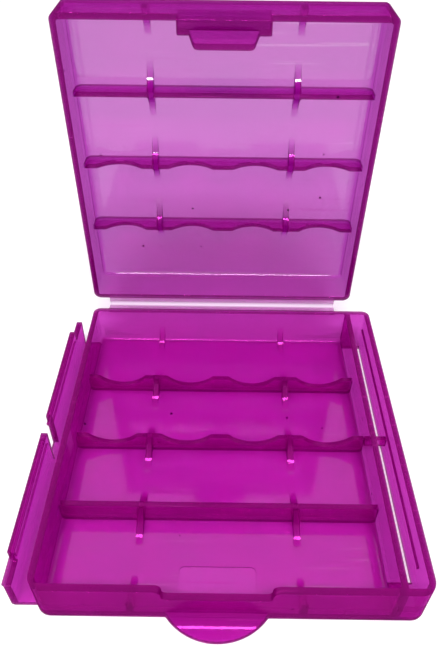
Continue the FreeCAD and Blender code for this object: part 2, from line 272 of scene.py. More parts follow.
def select_only(piece):
    """Select one object and make it active."""
    bpy.ops.object.select_all(action="DESELECT")
    piece.select_set(True)
    bpy.context.view_layer.objects.active = piece


@contextmanager
def editing(piece, kind):
    """Edit mode on one piece with nothing selected, in VERT, EDGE or FACE mode."""
    select_only(piece)
    bpy.ops.object.mode_set(mode="EDIT")
    bpy.ops.mesh.select_mode(type=kind)
    bpy.ops.mesh.select_all(action="DESELECT")
    yield bmesh.from_edit_mesh(piece.data)
    bpy.ops.object.mode_set(mode="OBJECT")


def apply_place(piece):
    """Put the object's place, turn and scale into its mesh."""
    select_only(piece)
    bpy.ops.object.transform_apply(location=True, rotation=True, scale=True)
    return piece


def box(name, low, high):
    """Box between two corners."""
    low, high = Vector(low), Vector(high)
    bpy.ops.object.select_all(action="DESELECT")
    bpy.ops.mesh.primitive_cube_add(size=1, location=(low + high) / 2, scale=high - low)
    piece = bpy.context.object
    piece.name = name
    return apply_place(piece)


def rod(name, radius, centre, span, axis, sides=96):
    """Cylinder along X, Y or Z."""
    turn = {"X": (0, math.pi / 2, 0), "Y": (math.pi / 2, 0, 0), "Z": (0, 0, 0)}[axis]
    bpy.ops.object.select_all(action="DESELECT")
    bpy.ops.mesh.primitive_cylinder_add(
        vertices=sides, radius=radius, depth=span, location=centre, rotation=turn)
    piece = bpy.context.object
    piece.name = name
    return apply_place(piece)


def ends(edge):
    """Lowest and highest corner of an edge's box."""
    a, b = edge.verts[0].co, edge.verts[1].co
    low = Vector([min(pair) for pair in zip(a, b)])
    high = Vector([max(pair) for pair in zip(a, b)])
    return low, high


def round_edges(piece, radius, test, segments=6, sharper_than=30):
    """Round the edges whose box passes a test and whose faces meet at more than some degrees."""
    with editing(piece, "EDGE") as mesh:
        count = 0
        for edge in mesh.edges:
            if edge.calc_face_angle(0) > math.radians(sharper_than) and test(*ends(edge)):
                edge.select_set(True)
                count += 1
        if not count:
            raise RuntimeError(f"{piece.name} has no edge to round")
        bpy.ops.mesh.bevel(offset=radius, segments=segments, affect="EDGES", clamp_overlap=True)
    return piece


def is_upright(low, high):
    """True for an upright edge."""
    return (high - low).xy.length < TINY < high.z - low.z


def round_corners(piece, hinge_radius, front_radius, front_way):
    """Round the upright corners of a box, with one radius at the hinge and one at the front."""
    middle_y = sum(corner[1] for corner in piece.bound_box) / 8
    for radius, way in ((hinge_radius, -front_way), (front_radius, front_way)):
        def stands_here(a, b):
            return is_upright(a, b) and (a.y - middle_y) * way > 0
        round_edges(piece, radius, stands_here, segments=10)
    return piece


def combine(piece, other, operation):
    """Boolean of two closed pieces; the second one is used up."""
    select_only(piece)
    modifier = piece.modifiers.new("combine", "BOOLEAN")
    modifier.object = other
    modifier.operation = operation
    modifier.solver = "MANIFOLD"
    bpy.ops.object.modifier_apply(modifier=modifier.name)
    bpy.data.objects.remove(other, do_unlink=True)
    return piece


def cut(piece, tool):
    """Take a tool's space out of a piece."""
    return combine(piece, tool, "DIFFERENCE")


def fuse(piece, other):
    """Join a piece with one that it overlaps."""
    return combine(piece, other, "UNION")


def gather(pieces):
    """Put separate pieces into one object."""
    select_only(pieces[0])
    for piece in pieces[1:]:
        piece.select_set(True)
    bpy.ops.object.join()
    return pieces[0]


def copy_of(piece, matrix):
    """Copy of a piece with a mesh of its own, moved by a matrix."""
    select_only(piece)
    bpy.ops.object.duplicate(linked=False)
    copy = bpy.context.object
    copy.matrix_world = matrix
    return apply_place(copy)


def circle_by(a, b, c):
    """Centre and radius of the circle through three points of a plane."""
    (ax, ay), (bx, by), (cx, cy) = a, b, c
    turn = 2 * (ax * (by - cy) + bx * (cy - ay) + cx * (ay - by))
    squares = ax * ax + ay * ay, bx * bx + by * by, cx * cx + cy * cy
    x = (squares[0] * (by - cy) + squares[1] * (cy - ay) + squares[2] * (ay - by)) / turn
    y = (squares[0] * (cx - bx) + squares[1] * (ax - cx) + squares[2] * (bx - ax)) / turn
    return (x, y), math.hypot(ax - x, ay - y)


# Places of the two halves as they lie in the mould

def flat_box(node):
    """Lowest and highest corner of a node, with a lid node turned back down into the mould."""
    low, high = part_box(node)
    if node not in LID_NODES:
        return low, high
    return (Vector((low.x, HINGE.y + low.z - HINGE.z, HINGE.z - high.y + HINGE.y)),
            Vector((high.x, HINGE.y + high.z - HINGE.z, HINGE.z - low.y + HINGE.y)))


def turn_up(piece):
    """Turn a piece of the lid up to a right angle about the hinge."""
    to_hinge = Matrix.Translation(HINGE)
    piece.matrix_world = to_hinge @ Matrix.Rotation(math.pi / 2, 4, "X") @ to_hinge.inverted()
    return apply_place(piece)


class Half:
    """Places of one half: its shell, its ribs and the way from the hinge to the front."""

    def __init__(self, side, shell, front_way, fillet, seat_depth, sizes):
        self.front_way = front_way
        self.low, self.high = flat_box(shell)
        self.floor = self.low.z + sizes.floor
        self.fillet = fillet
        self.seat_depth = seat_depth
        self.ribs = {name: flat_box(f"{side}_rib_{name}") for name in ("rear", "middle", "front")}
        fins_high = flat_box(f"{side}_rear_rib_gussets")[1]
        rib_high = self.ribs["rear"][1]
        self.fin_length = fins_high.y - rib_high.y
        self.fin_x = fins_high.x - sizes.fin_thickness / 2
        self.crest = rib_high.z
        reach = Vector((sizes.wall, sizes.wall, 0))
        self.inner_low = Vector((*(self.low + reach).xy, self.floor))
        self.inner_high = self.high - reach


def halves(sizes):
    """Both halves, the tray first."""
    return (Half("base", "base_tray", -1, sizes.tray_fillet, sizes.tray_seat_depth, sizes),
            Half("lid", "lid_shell", 1, sizes.lid_fillet, sizes.lid_seat_depth, sizes))


def cavity(half, sizes):
    """Cutting tool for the space inside a half, with tight corners and a wider fillet below."""
    low, high = half.inner_low, half.inner_high
    top = (high.x, high.y, high.z + sizes.wall)
    tool = round_edges(box("cavity", low, top), sizes.inner_corner, is_upright, segments=4)
    foot = round_edges(box("foot", low, top), half.fillet,
                       lambda a, b: b.z < low.z + TINY, segments=6)
    return combine(tool, foot, "INTERSECT")


def rib(half, sizes, name):
    """Rib across a half, sunk a little into its walls and floor; all but the front one have seats."""
    low, high = half.ribs[name]
    sink = sizes.wall / 4
    plate = box("rib", (half.inner_low.x - sink, low.y, half.floor - sink),
                (half.inner_high.x + sink, high.y, high.z))
    if name != "front":
        centre_z = high.z - half.seat_depth + sizes.seat_radius
        seats = []
        for x in (-sizes.outer_seat, -sizes.inner_seat, sizes.inner_seat, sizes.outer_seat):
            seats.append(rod("seat", sizes.seat_radius, (x, (low.y + high.y) / 2, centre_z),
                             2 * sizes.wall, "Y"))
        cut(plate, gather(seats))

    def shows(a, b):
        in_wall = b.x - a.x < TINY and abs(a.x) > half.inner_high.x
        return a.z > half.floor + sizes.wall and not in_wall
    return round_edges(plate, sizes.small_edge, shows, segments=2)


def fin(half, sizes, x, face, way):
    """Fin with a hollow slope that stands against a face and runs one way along Y."""
    sink = sizes.wall / 4
    reach = half.fin_length
    height = half.crest - NUDGE - half.floor
    side = sizes.fin_thickness / 2
    ends_y = sorted((face - way * sink, face + way * reach))
    body = box("fin", (x - side, ends_y[0], half.floor - sink),
               (x + side, ends_y[1], half.floor + height))
    sag = (sizes.fin_hollow * reach, sizes.fin_hollow * height)
    (u, w), radius = circle_by((0, height), sag, (reach, 0))
    hollow = rod("hollow", radius, (x, face + way * u, half.floor + w), 4 * side, "X")
    return cut(body, hollow)


def fins(half, sizes):
    """All fins of a half: the first one is modelled and the others are its copies."""
    rear_face = half.ribs["rear"][1].y
    first = fin(half, sizes, 0, rear_face, 1)
    stands = []
    for low, high in half.ribs.values():
        stands += [(high.y, 1), (low.y, -1)]
    # The tray has fins on both end walls, the lid on its front wall alone
    if half.front_way < 0:
        stands.append((half.inner_low.y, 1))
    stands.append((half.inner_high.y, -1))
    copies = []
    for face, way in stands:
        turn = Matrix.Rotation(0 if way > 0 else math.pi, 4, "Z")
        for x in (-half.fin_x, half.fin_x):
            there = Matrix.Translation((x, face, 0))
            back = Matrix.Translation((0, -rear_face, 0))
            copies.append(copy_of(first, there @ turn @ back))
    bpy.data.objects.remove(first, do_unlink=True)
    return gather(copies)


def with_ribs(skin, half, sizes):
    """Fuse the ribs and fins of a half to its shell."""
    rear = rib(half, sizes, "rear")
    step = half.ribs["middle"][0].y - half.ribs["rear"][0].y
    middle = copy_of(rear, Matrix.Translation((0, step, 0)))
    fuse(skin, gather([rear, middle, rib(half, sizes, "front")]))
    return fuse(skin, fins(half, sizes))


# Tray

def tray_shell(half, sizes):
    """Tray and channel rail as one shell, with the latch notch and the floor pocket cut in."""
    rail_low, rail_high = flat_box("channel_rail")
    shell = box("tray", half.low, (rail_high.x, half.high.y, half.high.z))
    round_corners(shell, sizes.hinge_corner, sizes.tray_corner, half.front_way)
    round_edges(shell, sizes.outer_edge, lambda a, b: b.z < half.low.z + TINY, segments=5)
    cut(shell, cavity(half, sizes))
    cut(shell, channel_space(half, sizes, rail_high.x - sizes.rail_wall))
    cut(shell, latch_notch(half, sizes))
    at_rim = half.high.z - TINY

    def notch_top(a, b):
        return abs(abs(a.x) - sizes.notch_width / 2) < TINY and a.z > at_rim and b.x - a.x < TINY
    round_edges(shell, sizes.notch_top, notch_top, segments=6)
    cut(shell, floor_pocket(half, sizes))

    def on_rim(a, b):
        in_notch = b.y < half.inner_low.y + TINY and abs(a.x) < sizes.notch_width / 2 + sizes.notch_top
        lowest = half.high.z - sizes.notch_depth if in_notch else at_rim
        return a.z > lowest - TINY
    return round_edges(shell, sizes.rim_edge, on_rim, segments=3)


def channel_space(half, sizes, rail_face):
    """Cutting tool for the channel beside the tray and the slot through its floor."""
    low, high = half.inner_low, half.inner_high
    space = box("channel", (half.high.x, low.y, half.floor), (rail_face, high.y, high.z + sizes.wall))

    def at_rail(a, b):
        return is_upright(a, b) and a.x > rail_face - TINY
    round_edges(space, sizes.inner_corner, at_rail, segments=4)
    slot = box("slot", (half.high.x, low.y + sizes.front_web, half.low.z - sizes.wall),
               (rail_face, high.y - sizes.rear_web, half.floor + sizes.wall))
    return fuse(space, slot)


def latch_notch(half, sizes):
    """Cutting tool for the latch notch in the front wall."""
    reach = sizes.notch_width / 2
    foot = half.high.z - sizes.notch_depth
    tool = box("notch", (-reach, half.low.y - sizes.wall, foot),
               (reach, half.inner_low.y + sizes.wall, half.high.z + sizes.wall))

    def at_foot(a, b):
        return b.z < foot + TINY and b.x - a.x < TINY
    return round_edges(tool, sizes.notch_bottom, at_foot, segments=5)


def floor_pocket(half, sizes):
    """Cutting tool for the shallow pocket in the floor under the latch."""
    rear = half.inner_low.y + sizes.pocket_length
    reach = sizes.pocket_width / 2
    tool = box("pocket", (-reach, half.inner_low.y, half.floor - sizes.pocket_depth),
               (reach, rear, half.floor + sizes.tray_fillet))

    def rear_corner(a, b):
        return is_upright(a, b) and a.y > rear - TINY
    return round_edges(tool, sizes.pocket_corner, rear_corner, segments=5)


def channel_catch(half, sizes):
    """The tie across the channel and the catch along the rail's inner face."""
    low, high = flat_box("channel_tie")
    sink = sizes.wall / 4
    tie = box("tie", (low.x - sink, low.y, low.z), (high.x + sink, high.y, high.z))
    round_edges(tie, sizes.small_edge, lambda a, b: b.x - a.x > sink, segments=2)
    foot = half.crest + sizes.catch_gap
    ridge = box("catch", (high.x - sizes.catch_reach, half.inner_low.y + sizes.front_web, foot),
                (high.x + sink, half.inner_high.y - sizes.rear_web, foot + sizes.catch_height))

    def along_edge(a, b):
        return b.x < high.x - sizes.catch_reach + TINY and b.y - a.y > sizes.wall
    round_edges(ridge, sizes.catch_reach, along_edge, segments=3)
    return tie, ridge


def hook(node, half, sizes, lead, lead_at_rear, blade_gap, web_inset):
    """Hook on the left: floor web, upright blade with a lower lead-in end, and a bead outside."""
    low, high = flat_box(node)
    past = sizes.wall
    rear = high.y - blade_gap
    outer = low.x + sizes.bead_reach
    inner = outer + sizes.blade
    tray_side = half.low.x + sizes.wall
    lead_top = high.z - sizes.lead_drop
    body = box(node, (outer, low.y, low.z), (tray_side, high.y, high.z))
    beyond = Vector((tray_side + past, high.y + past, high.z + past))
    cut(body, box("slot", (inner, low.y - past, half.floor), beyond))
    lead_y = (rear - lead, beyond.y) if lead_at_rear else (low.y - past, low.y + lead)
    cut(body, box("lead", (outer - past, lead_y[0], lead_top), (inner + past, lead_y[1], beyond.z)))
    if blade_gap:
        cut(body, box("gap", (outer - past, rear, half.floor), (inner + past, beyond.y, beyond.z)))
    if web_inset:
        cut(body, box("inset", (inner, high.y - web_inset, low.z - past),
                      (beyond.x, beyond.y, half.floor + past)))

    def lower_edge(a, b):
        return b.z < low.z + TINY and b.x < outer + TINY
    round_edges(body, sizes.hook_edge, lower_edge, segments=5)

    def upper_edge(a, b):
        return a.z > half.floor + TINY
    round_edges(body, sizes.rim_edge, upper_edge, segments=3)
    sink = sizes.blade / 4
    bead_y = (low.y + sink, rear - lead) if lead_at_rear else (low.y + sink, rear - sink)
    bead = box("bead", (low.x, bead_y[0], lead_top - sizes.bead_height),
               (outer + sink, bead_y[1], lead_top))
    with editing(bead, "FACE") as mesh:
        for face in mesh.faces:
            face.select_set(face.normal.x < -0.9)
        bpy.ops.transform.resize(value=(1, 1, sizes.bead_slope))
    round_edges(bead, sizes.small_edge, lambda a, b: b.x < low.x + TINY,
                segments=2, sharper_than=20)
    return fuse(body, bead)


def finger_lip(half, sizes):
    """Rounded lip at the foot of the front wall, its top hollowed up into the wall."""
    low, high = flat_box("finger_lip")
    face = half.low.y
    reach = face - low.y
    half_width = (high.x - low.x) / 2
    (x, y), radius = circle_by((-half_width, face), (0, low.y), (half_width, face))
    lip = rod("lip", radius, (x, y, (low.z + high.z) / 2), high.z - low.z, "Z", sides=160)
    inside = face + sizes.wall / 2
    cut(lip, box("inside", (-2 * radius, inside, low.z - sizes.wall),
                 (2 * radius, y + 2 * radius, high.z + sizes.wall)))
    rise = high.z - low.z - sizes.lip_edge
    sag = (reach * sizes.lip_hollow, low.z + sizes.lip_edge + rise * sizes.lip_hollow)
    (u, w), sweep = circle_by((0, high.z), sag, (reach, low.z + sizes.lip_edge))
    cut(lip, rod("hollow", sweep, (0, face - u, w), 3 * half_width, "X"))

    def outer(a, b):
        return b.y < face - TINY
    return round_edges(lip, sizes.lip_round, outer, segments=3, sharper_than=35)


# Lid

def lid_shell(half, sizes):
    """Lid with rounded corners and edges."""
    shell = box("lid", half.low, half.high)
    round_corners(shell, sizes.hinge_corner, sizes.lid_corner, half.front_way)
    round_edges(shell, sizes.outer_edge, lambda a, b: b.z < half.low.z + TINY, segments=5)
    cut(shell, cavity(half, sizes))
    return round_edges(shell, sizes.rim_edge, lambda a, b: a.z > half.high.z - TINY, segments=3)


def latch_tongue(half, sizes):
    """Shoulder on the lid's rim with a backing inside the wall and a tapered, leaning flap."""
    low, high = flat_box("latch_tongue")
    front = half.high.y - NUDGE
    inner = half.high.y - sizes.tongue_thickness
    wall_face = half.inner_high.y
    rim = half.high.z
    tip = rim + sizes.tongue_reach
    sink = sizes.wall / 4
    tongue = box("tongue", (low.x, inner, rim - sizes.wall), (high.x, front, tip))
    fuse(tongue, box("backing", (low.x, inner, low.z), (high.x, wall_face + sink, rim)))

    def under(a, b):
        return b.z < low.z + TINY and b.y < inner + TINY
    round_edges(tongue, sizes.tongue_chamfer, under, segments=1)

    def shows(a, b):
        return b.y < wall_face - TINY or a.z > rim + TINY
    round_edges(tongue, sizes.rim_edge, shows, segments=3)

    flap = box("flap", (-sizes.flap_root / 2, inner, tip - sizes.wall),
               (sizes.flap_root / 2, inner + sizes.flap_thickness, high.z))
    with editing(flap, "FACE") as mesh:
        for face in mesh.faces:
            face.select_set(face.normal.z > 0.9)
        bpy.ops.transform.resize(value=(sizes.flap_tip / sizes.flap_root, 1, 1))
        bpy.ops.transform.translate(value=(0, -sizes.flap_lean, 0))

    def tip_corner(a, b):
        return a.z > high.z - TINY and b.x - a.x < TINY
    round_edges(flap, sizes.flap_corner, tip_corner, segments=5)
    round_edges(flap, sizes.small_edge, lambda a, b: a.z > tip, segments=2)
    return fuse(tongue, flap)


# Living hinge

def hinge_film(sizes):
    """Film from the tray's wall to the lid's, bent through a right angle at the fold."""
    base_low, base_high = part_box("base_hinge_leaf")
    lid_low, lid_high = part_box("lid_hinge_leaf")
    sink = sizes.wall / 4
    top = base_high.z
    thick = sizes.film_root - sizes.film
    bend_start = lid_low.y - sizes.film_bend
    film = box("hinge_film", (base_low.x, base_low.y - sink, top - sizes.film),
               (base_high.x, base_low.y + sizes.film_root_length, top))
    with editing(film, "EDGE") as mesh:
        for edge in mesh.edges:
            low, high = ends(edge)
            edge.select_set(high.y < base_low.y and high.z < top - TINY)
        bpy.ops.transform.translate(value=(0, 0, -thick))
        bpy.ops.mesh.select_all(action="DESELECT")
        bpy.ops.mesh.select_mode(type="FACE")
        for face in bmesh.from_edit_mesh(film.data).faces:
            face.select_set(face.normal.y > 0.9)
        straight = bend_start - base_low.y - sizes.film_root_length
        bpy.ops.mesh.extrude_region_move(TRANSFORM_OT_translate={"value": (0, straight, 0)})
        bpy.ops.mesh.spin(steps=10, angle=-math.pi / 2, axis=(1, 0, 0),
                          center=(0, bend_start, top + sizes.film_bend))
        rise = lid_high.z - sizes.film_root_length - top - sizes.film_bend
        for step in (rise, sizes.film_root_length + sink):
            bpy.ops.mesh.extrude_region_move(TRANSFORM_OT_translate={"value": (0, 0, step)})
    end_z = lid_high.z + sink
    with editing(film, "EDGE") as mesh:
        for edge in mesh.edges:
            low, high = ends(edge)
            edge.select_set(low.z > end_z - TINY and low.y > lid_low.y + sizes.film / 2)
        bpy.ops.transform.translate(value=(0, thick, 0))
        bpy.ops.mesh.select_all(action="SELECT")
        bpy.ops.mesh.normals_make_consistent(inside=False)
    return film


# Materials

def add(tree, kind, settings=(), links=()):
    """Add a node, set its sockets or attributes, and link its inputs to sockets or nodes."""
    node = tree.nodes.new(kind)
    for name, value in dict(settings).items():
        if isinstance(name, int) or name in node.inputs:
            node.inputs[name].default_value = value
        else:
            setattr(node, name, value)
    for name, source in dict(links).items():
        socket = source.outputs[0] if isinstance(source, bpy.types.Node) else source
        tree.links.new(socket, node.inputs[name])
    return node


def new_material(name):
    """Empty node material, its tree and its output node."""
    material = bpy.data.materials.new(name)
    material.use_nodes = True
    tree = material.node_tree
    tree.nodes.clear()
    return material, tree, tree.nodes.new("ShaderNodeOutputMaterial")


def out_of_box(tree, place, low, high):
    """Node that gives less than 1 inside a box, 1 on its faces and more outside."""
    off = add(tree, "ShaderNodeVectorMath", {"operation": "SUBTRACT", 1: (low + high) / 2}, {0: place})
    off = add(tree, "ShaderNodeVectorMath", {"operation": "DIVIDE", 1: (high - low) / 2}, {0: off})
    off = add(tree, "ShaderNodeVectorMath", {"operation": "ABSOLUTE"}, {0: off})
    axes = add(tree, "ShaderNodeSeparateXYZ", {}, {0: off})
    most = axes.outputs["X"]
    for axis in "YZ":
        most = add(tree, "ShaderNodeMath", {"operation": "MAXIMUM"}, {0: most, 1: axes.outputs[axis]})
    return most


def surface_marks(tree, place):
    """Nodes for the satin patches, the orange peel, the hairline scratches and the dust."""
    patches = add(tree, "ShaderNodeTexNoise", {"Scale": 1 / SATIN_PATCH, "Detail": 4.0}, {"Vector": place})
    peel = add(tree, "ShaderNodeTexNoise", {"Scale": 1 / ORANGE_PEEL, "Detail": 2.0}, {"Vector": place})
    hairlines = []
    for turn, seed in ((0.5, 3.0), (-0.9, 11.0)):
        drawn = add(tree, "ShaderNodeMapping", {
            "Rotation": (0.3, 0.2, turn), "Location": (seed, seed, 0),
            "Scale": (1 / HAIRLINE_LENGTH, 1 / HAIRLINE_SPACING, 1 / HAIRLINE_SPACING)},
            {"Vector": place})
        lines = add(tree, "ShaderNodeTexNoise", {"Scale": 1.0, "Detail": 1.0}, {"Vector": drawn})
        hairlines.append(add(tree, "ShaderNodeMapRange", {"From Min": 0.70, "From Max": 0.74},
                             {"Value": lines}))
    scratches = add(tree, "ShaderNodeMath", {"operation": "MAXIMUM"}, {0: hairlines[0], 1: hairlines[1]})
    # A cell shows its speck only where the speck lies in the surface
    cells = add(tree, "ShaderNodeTexVoronoi", {"Scale": 1 / DUST_SPACING}, {"Vector": place})
    edge = DUST_SPECK / DUST_SPACING
    dust = add(tree, "ShaderNodeMapRange", {"From Min": edge, "From Max": 0.711 * edge},
               {"Value": cells.outputs["Distance"]})
    return patches, peel, scratches, dust


def painted_highlight_colour(tree, place, colours, low, high, highlight_paint):
    """Node for the shine's colour: tinted, and painted white inside a box as a highlight."""
    outer = out_of_box(tree, place, low, high)
    inside = add(tree, "ShaderNodeMapRange", {"From Min": 1.0, "From Max": 0.99, "To Max": highlight_paint},
                 {"Value": outer})
    return add(tree, "ShaderNodeMix", {"data_type": "RGBA", 6: colours.shine_tint, 7: colours.highlight_paint},
               {0: inside})


def stress_whitened(tree, place, colours, resin, fold, reach):
    """Node that turns the stretched resin of a folded hinge white and opaque around its fold."""
    off = add(tree, "ShaderNodeVectorMath", {"operation": "SUBTRACT", 1: fold}, {0: place})
    across = add(tree, "ShaderNodeVectorMath", {"operation": "MULTIPLY", 1: (0, 1, 1)}, {0: off})
    distance = add(tree, "ShaderNodeVectorMath", {"operation": "LENGTH"}, {0: across})
    share_white = add(tree, "ShaderNodeMapRange", {
        "From Min": reach, "From Max": 0.3 * reach, "To Max": colours.crazing},
        {"Value": distance.outputs["Value"]})
    crazed = add(tree, "ShaderNodeBsdfDiffuse", {"Color": colours.stress, "Roughness": 0.6})
    return add(tree, "ShaderNodeMixShader", {}, {0: share_white, 1: resin, 2: crazed})


def moulded_polypropylene(name, colours, loss, highlit=None, folded=None):
    """Injection-moulded, tinted polypropylene.

    The clear share bends what lies behind it, the milky share glows in the resin's own colour, and
    the resin swallows green on its way: thin plates stay lavender and thick edges turn deep purple.
    Satin patches, orange peel, hairlines and dust break up the thin highlights.
    """
    material, tree, output = new_material(name)
    place = add(tree, "ShaderNodeTexCoord").outputs["Object"]
    patches, peel, scratches, dust = surface_marks(tree, place)

    # The mould's orange peel and the scratches are a bump far finer than the walls
    height = add(tree, "ShaderNodeMath", {"operation": "MULTIPLY_ADD", 1: -0.5}, {0: scratches, 2: peel})
    bump = add(tree, "ShaderNodeBump", {"Strength": colours.relief, "Distance": PEEL_HEIGHT},
               {"Height": height})

    # Milky share: the flow of the melt makes it a little lighter and darker over a centimetre
    flow = add(tree, "ShaderNodeMapRange", {"From Min": 0.3, "From Max": 0.7, "To Min": 0.9, "To Max": 1.1},
               {"Value": patches})
    tint = add(tree, "ShaderNodeMix", {
        "data_type": "RGBA", "blend_type": "MULTIPLY", 0: 1.0, 6: colours.tint}, {7: flow}).outputs[2]
    body = add(tree, "ShaderNodeBsdfPrincipled", {"Roughness": 0.4, "IOR": MILKY_IOR},
               {"Base Color": tint, "Normal": bump})
    glow = add(tree, "ShaderNodeBsdfTranslucent", {}, {"Color": tint, "Normal": bump})
    milky = add(tree, "ShaderNodeMixShader", {0: colours.glow}, {1: body, 2: glow})

    # Clear share: part of it goes straight on, and part of it is bent as by a thick pane
    straight = add(tree, "ShaderNodeBsdfTransparent", {"Color": colours.clear})
    bent = add(tree, "ShaderNodeBsdfRefraction", {
        "Color": colours.clear, "Roughness": colours.haze, "IOR": RESIN_IOR}, {"Normal": bump})
    clear = add(tree, "ShaderNodeMixShader", {0: colours.bending}, {1: straight, 2: bent})
    resin = add(tree, "ShaderNodeMixShader", {0: 1 - colours.milk}, {1: milky, 2: clear})

    # Shine: thin highlights, wider in the satin patches and stronger along hairlines
    satin = add(tree, "ShaderNodeMapRange", {"To Min": colours.smoothest, "To Max": colours.roughest},
                {"Value": patches})
    mirror = add(tree, "ShaderNodeBsdfGlossy", {"Color": colours.shine_tint},
                 {"Roughness": satin, "Normal": bump})
    # Painted highlight: inside the box the shine is white, elsewhere tinted
    if highlit:
        white = painted_highlight_colour(tree, place, colours, *highlit)
        tree.links.new(white.outputs[2], mirror.inputs["Color"])
    shine = add(tree, "ShaderNodeMapRange", {"To Min": colours.shine, "To Max": colours.hairline_shine},
                {"Value": scratches})
    glossy = add(tree, "ShaderNodeMixShader", {}, {0: shine, 1: resin, 2: mirror})
    specks = add(tree, "ShaderNodeBsdfDiffuse", {"Color": colours.dust})
    whole = add(tree, "ShaderNodeMixShader", {}, {0: dust, 1: glossy, 2: specks})
    if folded:
        whole = stress_whitened(tree, place, colours, whole, *folded)
    tree.links.new(whole.outputs[0], output.inputs["Surface"])

    # What the resin swallows on the way through it, in proportion to its thickness; each half's loss is
    # also tuned apart to paint the light and shade it shows
    density = max(loss)
    kept = [1 - value / density for value in loss]
    swallow = add(tree, "ShaderNodeVolumeAbsorption", {"Color": (*kept, 1.0), "Density": density})
    tree.links.new(swallow.outputs[0], output.inputs["Volume"])
    return material


def shows_background(tree):
    """Node that is 1 for the rays that show the background: seen, mirrored or through the resin."""
    path = add(tree, "ShaderNodeLightPath")
    shown = path.outputs["Is Camera Ray"]
    for kind in ("Is Glossy Ray", "Is Transmission Ray"):
        shown = add(tree, "ShaderNodeMath", {"operation": "MAXIMUM"}, {0: shown, 1: path.outputs[kind]})
    return shown


def matt_paper(colours, backdrop, tray, lip):
    """Matt white paper sweep: a white ground that still takes the soft shadow.

    Where it is looked at it is lifted to white, but not under the tray and its lip, which would glow.
    """
    material, tree, output = new_material("matt_white_paper")
    place = add(tree, "ShaderNodeTexCoord").outputs["Object"]
    fibres = add(tree, "ShaderNodeTexNoise", {"Scale": 1 / PAPER_FIBRE, "Detail": 3.0}, {"Vector": place})
    bump = add(tree, "ShaderNodeBump", {"Strength": 0.1, "Distance": FIBRE_HEIGHT}, {"Height": fibres})
    paper = add(tree, "ShaderNodeBsdfDiffuse", {"Color": colours.paper, "Roughness": 1.0}, {"Normal": bump})

    (low, high), (lip_low, lip_high) = tray, lip
    footprint = out_of_box(tree, place, Vector((*low.xy, -1)), Vector((*high.xy, 1)))
    off_tray = add(tree, "ShaderNodeMapRange", {"From Min": 0.97, "From Max": 1.0}, {"Value": footprint})
    reach = (lip_high.x, low.y - lip_low.y, 1)
    oval = add(tree, "ShaderNodeVectorMath", {"operation": "SUBTRACT", 1: (0, low.y, 0)}, {0: place})
    oval = add(tree, "ShaderNodeVectorMath", {"operation": "DIVIDE", 1: reach}, {0: oval})
    oval = add(tree, "ShaderNodeVectorMath", {"operation": "LENGTH"}, {0: oval})
    off_lip = add(tree, "ShaderNodeMapRange", {"From Min": 0.85, "From Max": 1.0},
                  {"Value": oval.outputs["Value"]})

    # Far from the lamp the paper is darker, so it is lifted more there
    distance = add(tree, "ShaderNodeVectorMath", {"operation": "LENGTH"}, {0: place})
    far = add(tree, "ShaderNodeMapRange", {
        "From Min": 0.3, "From Max": 0.9, "To Min": backdrop, "To Max": 2 * backdrop},
        {"Value": distance.outputs["Value"]})
    lifted = off_tray
    for factor in (off_lip, shows_background(tree), far):
        lifted = add(tree, "ShaderNodeMath", {"operation": "MULTIPLY"}, {0: lifted, 1: factor})
    white = add(tree, "ShaderNodeEmission", {"Color": linear("FFFFFF")}, {"Strength": lifted})
    whole = add(tree, "ShaderNodeAddShader", {}, {0: paper, 1: white})
    tree.links.new(whole.outputs[0], output.inputs["Surface"])
    return material


def soft_room(strength):
    """White room: even light, and plain white where it is seen or mirrored."""
    world = bpy.data.worlds.new("soft_room")
    world.use_nodes = True
    tree = world.node_tree
    level = add(tree, "ShaderNodeMapRange", {"To Min": strength, "To Max": 1.0},
                {"Value": shows_background(tree)})
    background = tree.nodes["Background"]
    background.inputs["Color"].default_value = linear("FFFFFF")
    tree.links.new(level.outputs[0], background.inputs["Strength"])
    return world


# Finishing a piece

def finish(piece, name, material):
    """Name a piece, give it its material and smooth its shading."""
    piece.name = name
    piece.data.name = name
    piece.data.materials.clear()
    piece.data.materials.append(material)
    select_only(piece)
    bpy.ops.object.shade_smooth_by_angle(angle=SMOOTH_BELOW)
    modifier = piece.modifiers.new("weighted", "WEIGHTED_NORMAL")
    modifier.keep_sharp = True
    bpy.ops.object.modifier_apply(modifier=modifier.name)
    return piece


class CASE_OT_tray(bpy.types.Operator):
    """Model the tray with its ribs, channel, hooks and finger lip"""

    bl_idname = "case.tray"
    bl_label = "Tray"

    def execute(self, context):
        sizes = context.scene.case_sizes
        half = halves(sizes)[0]
        skin = tray_shell(half, sizes)
        with_ribs(skin, half, sizes)
        for piece in channel_catch(half, sizes):
            fuse(skin, piece)
        fuse(skin, hook("rear_hook", half, sizes, sizes.rear_lead, True, 0, sizes.web_inset))
        fuse(skin, hook("front_hook", half, sizes, sizes.front_lead, False, sizes.blade_gap, 0))
        fuse(skin, finger_lip(half, sizes))
        colours = context.scene.case_colours
        # Box of the painted white highlight: the top of the tray's floor
        low = Vector((*half.inner_low.xy, half.floor - TRAY_HIGHLIGHT_DEPTH))
        high = Vector((*half.inner_high.xy, half.floor + TRAY_HIGHLIGHT_RISE))
        # The tray's loss is set apart from the lid's as painted shading
        finish(skin, "tray_moulding", moulded_polypropylene(
            "moulded_translucent_polypropylene", colours, colours.tray_loss_with_painted_shading,
            highlit=(low, high, colours.tray_highlight_paint)))
        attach(skin, "base")
        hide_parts(*[node for node in BASE_NODES if node != "base_hinge_leaf"])
        return {"FINISHED"}


